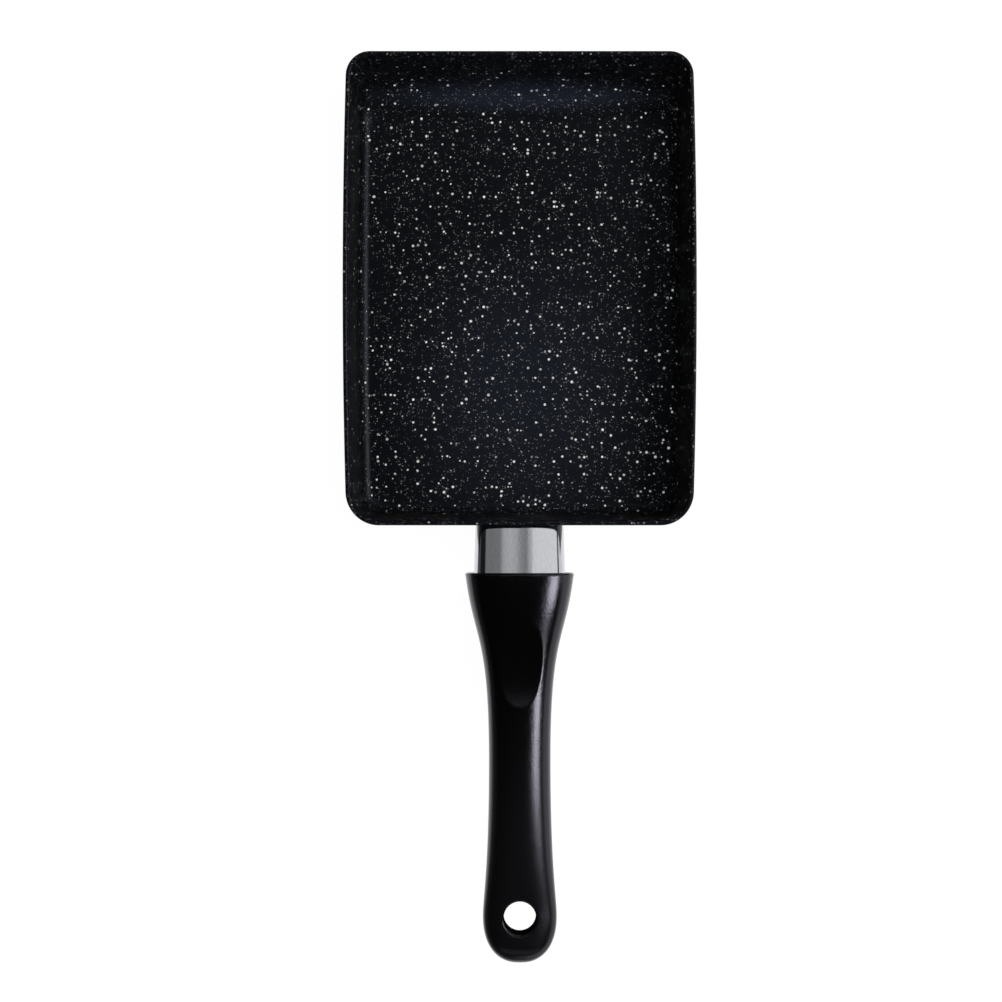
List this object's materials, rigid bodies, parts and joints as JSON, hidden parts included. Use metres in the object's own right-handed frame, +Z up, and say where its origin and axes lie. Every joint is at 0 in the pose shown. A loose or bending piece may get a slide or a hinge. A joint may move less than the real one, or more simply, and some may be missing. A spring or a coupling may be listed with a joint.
{
  "type": "tamagoyaki pan",
  "caption": "Rectangular pressed aluminium pan for rolled omelettes, with a slanted far wall, a steel ferrule and a long moulded handle with a thumb rest and a hanging hole.",
  "frame": {"origin": "centre of the ground base, on the plane that the pan stands on", "axes": "+Z up out of the pan, +Y from the handle towards the slanted far wall, +X to the right seen from above with the handle towards the viewer"},
  "size_m": [0.1494, 0.3827, 0.0537],
  "materials": {
    "coated_aluminium": "satin",
    "bare_aluminium": "satin",
    "zinc_plated_steel": "satin",
    "polished_stainless_steel": "polished",
    "black_phenolic": "satin"
  },
  "bodies": {
    "root": {"pan_body": "coated_aluminium", "weld_studs": "bare_aluminium", "bracket": "zinc_plated_steel", "weld_nut": "zinc_plated_steel", "ferrule": "polished_stainless_steel", "handle": "black_phenolic", "handle_screw": "zinc_plated_steel", "spring_washer": "zinc_plated_steel", "flat_washer": "zinc_plated_steel"}
  },
  "joints": []
}
